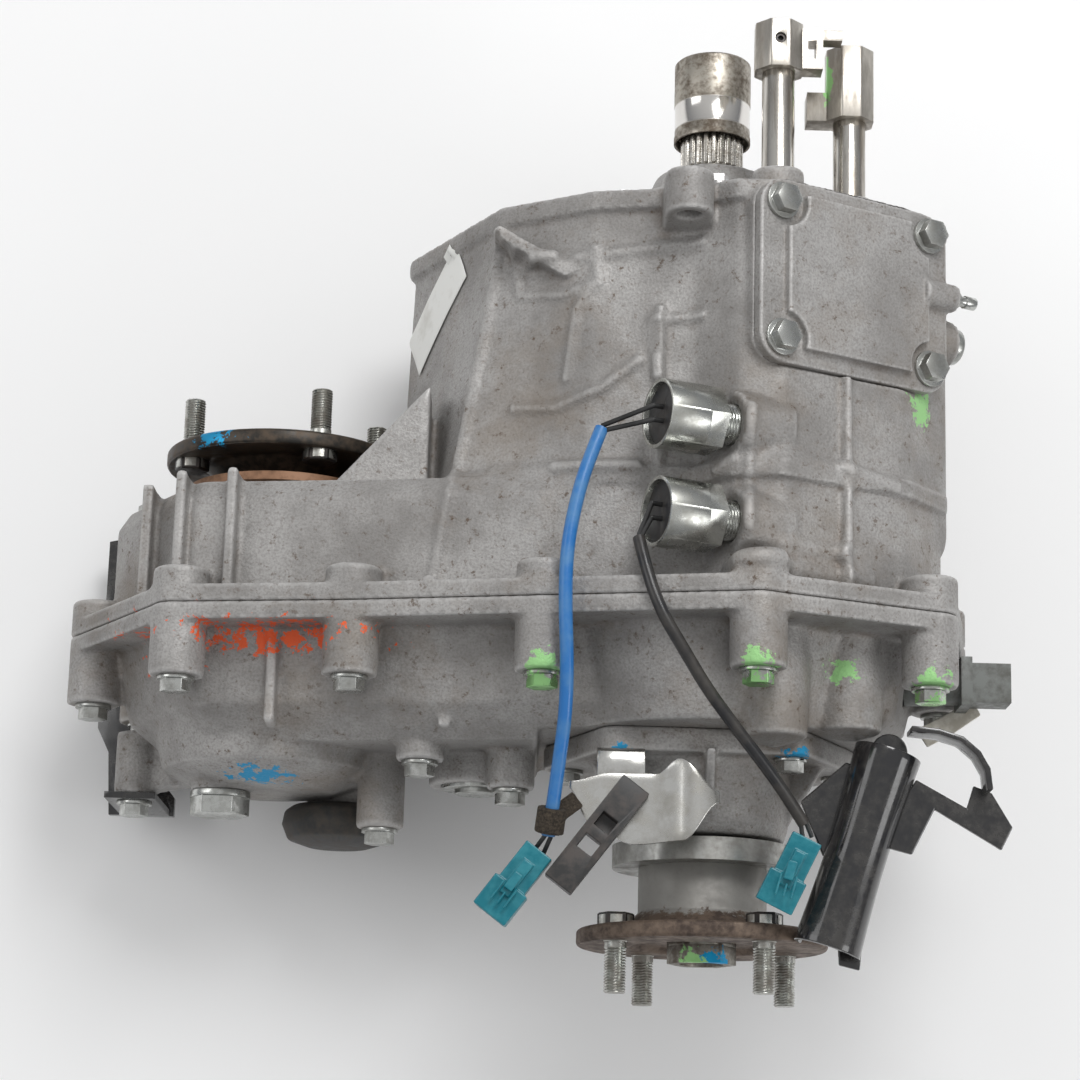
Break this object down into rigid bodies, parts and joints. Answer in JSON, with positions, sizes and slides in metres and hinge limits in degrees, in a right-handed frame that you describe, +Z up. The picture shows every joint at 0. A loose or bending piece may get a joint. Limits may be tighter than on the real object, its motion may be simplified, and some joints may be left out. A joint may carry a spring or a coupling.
{
  "type": "transfer case",
  "caption": "Two-range transfer case: split aluminium housing, chain-driven front output, rear output flange and two shift rods.",
  "frame": {"origin": "input axis at the face that bolts to the gearbox adapter", "axes": "+Y forward along the input axis, +Z up, +X away from the front output"},
  "size_m": [0.4345, 0.449, 0.2378],
  "materials": {
    "cast_aluminium": "sand-cast, matt",
    "machined_steel": "turned",
    "gear_steel": "ground",
    "zinc_steel": "zinc plated",
    "dark_iron": "dark oxide",
    "rusty_steel": "surface rust",
    "brown_ring": "brown oxide",
    "black_paint": "gloss black",
    "black_plastic": "moulded",
    "teal_plastic": "moulded",
    "grey_plastic": "moulded",
    "blue_sleeve": "vinyl sleeve",
    "black_sleeve": "vinyl sleeve",
    "rubber": "moulded rubber",
    "cloth_tape": "fleece tape"
  },
  "bodies": {
    "case": {"front_case": "cast_aluminium", "rear_case": "cast_aluminium", "tail_housing": "cast_aluminium", "bearing_retainer": "cast_aluminium", "retainer_bolts": "zinc_steel", "case_bolts": "zinc_steel", "tail_bolts": "zinc_steel", "shift_cover": "cast_aluminium", "cover_bolts": "zinc_steel", "breather_nozzle": "zinc_steel", "input_bearing": "gear_steel", "large_bearings": "gear_steel", "small_bearings": "gear_steel", "input_seal": "rubber", "rear_seal": "rubber", "front_seal": "rubber", "ring_gear": "gear_steel", "drive_chain": "gear_steel", "switch_bodies": "zinc_steel", "switch_insulators": "black_plastic", "blue_cable": "blue_sleeve", "black_cable": "black_sleeve", "cable_leads": "black_sleeve", "connectors": "teal_plastic", "tape_wrap": "cloth_tape", "cable_clip": "black_plastic", "shield_plate": "zinc_steel", "plugs": "zinc_steel", "speed_sensor": "grey_plastic", "harness_bracket": "black_paint", "side_bracket": "black_paint", "mass_damper": "rubber"},
    "input": {"input_shaft": "machined_steel", "input_sleeve": "machined_steel"},
    "carrier": {"planet_carrier": "gear_steel", "planet_pins": "gear_steel"},
    "planet_a": {"planet_1": "gear_steel"},
    "planet_b": {"planet_2": "gear_steel"},
    "planet_c": {"planet_3": "gear_steel"},
    "rear_output": {"output_shaft": "gear_steel", "centre_differential": "gear_steel", "drive_sprocket": "gear_steel", "rear_flange": "rusty_steel", "rear_studs": "zinc_steel", "rear_nut": "dark_iron", "rear_deflector": "zinc_steel"},
    "front_output": {"front_shaft": "gear_steel", "driven_sprocket": "gear_steel", "front_flange": "dark_iron", "front_studs": "machined_steel", "front_nut": "dark_iron", "front_deflector": "brown_ring"},
    "range_shift": {"range_rod": "machined_steel", "range_fork": "gear_steel", "range_head": "machined_steel"},
    "lock_shift": {"lock_rod": "machined_steel", "lock_fork": "gear_steel", "lock_head": "machined_steel"},
    "range_collar_body": {"range_collar": "gear_steel"},
    "lock_collar_body": {"lock_collar": "gear_steel"}
  },
  "joints": [
    {"name": "input_spin", "type": "hinge", "parent": "case", "child": "input", "pos_m": [0, 0, 0], "axis": [0, 1, 0], "continuous": true},
    {"name": "rear_output_spin", "type": "hinge", "parent": "case", "child": "rear_output", "pos_m": [0, 0, 0], "axis": [0, 1, 0], "continuous": true},
    {"name": "front_output_spin", "type": "hinge", "parent": "case", "child": "front_output", "pos_m": [-0.20123, 0, -0.038], "axis": [0, 1, 0], "continuous": true},
    {"name": "carrier_spin", "type": "hinge", "parent": "case", "child": "carrier", "pos_m": [0, 0, 0], "axis": [0, 1, 0], "continuous": true},
    {"name": "planet_a_spin", "type": "hinge", "parent": "carrier", "child": "planet_a", "pos_m": [0, 0, 0.039], "axis": [0, 1, 0], "continuous": true},
    {"name": "planet_b_spin", "type": "hinge", "parent": "carrier", "child": "planet_b", "pos_m": [0.03377, 0, -0.0195], "axis": [0, 1, 0], "continuous": true},
    {"name": "planet_c_spin", "type": "hinge", "parent": "carrier", "child": "planet_c", "pos_m": [-0.03377, 0, -0.0195], "axis": [0, 1, 0], "continuous": true},
    {"name": "range_slide", "type": "slide", "parent": "case", "child": "range_shift", "axis": [0, 1, 0], "range_m": [-0.018, 0]},
    {"name": "lock_slide", "type": "slide", "parent": "case", "child": "lock_shift", "axis": [0, 1, 0], "range_m": [-0.008, 0]},
    {"name": "range_collar_slide", "type": "slide", "parent": "rear_output", "child": "range_collar_body", "axis": [0, 1, 0], "range_m": [-0.018, 0]},
    {"name": "lock_collar_slide", "type": "slide", "parent": "rear_output", "child": "lock_collar_body", "axis": [0, 1, 0], "range_m": [-0.008, 0]}
  ],
  "couplings": [
    {"joint": "input_spin", "follows": "rear_output_spin", "ratio": 1},
    {"joint": "front_output_spin", "follows": "rear_output_spin", "ratio": 1},
    {"joint": "carrier_spin", "follows": "rear_output_spin", "ratio": 0.38462},
    {"joint": "planet_a_spin", "follows": "rear_output_spin", "ratio": -2.0513},
    {"joint": "planet_b_spin", "follows": "rear_output_spin", "ratio": -2.0513},
    {"joint": "planet_c_spin", "follows": "rear_output_spin", "ratio": -2.0513},
    {"joint": "range_collar_slide", "follows": "range_slide", "ratio": 1},
    {"joint": "lock_collar_slide", "follows": "lock_slide", "ratio": 1}
  ]
}
